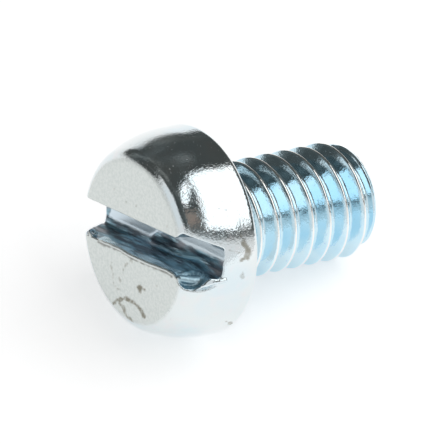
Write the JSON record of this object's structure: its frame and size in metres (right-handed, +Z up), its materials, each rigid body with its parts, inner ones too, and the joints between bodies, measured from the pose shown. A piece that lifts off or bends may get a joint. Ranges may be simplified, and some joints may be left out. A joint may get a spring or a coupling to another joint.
{
  "type": "machine screw",
  "caption": "Slotted cheese-head machine screw with a short fully threaded shank, for a tapped hole or a nut.",
  "frame": {"origin": "bottom centre of the bounding box of the screw as it lies on a flat surface", "axes": "+Z up; the shank points to +X and dips towards its tip, as the screw rests on its head's rim and on the last crest of its thread; the worn end of the slot faces -Y"},
  "size_m": [0.0094, 0.007, 0.007],
  "materials": {
    "zinc_plated_steel": "bright zinc plate, blue passivated"
  },
  "bodies": {
    "root": {"machine_screw": "zinc_plated_steel"}
  },
  "joints": []
}
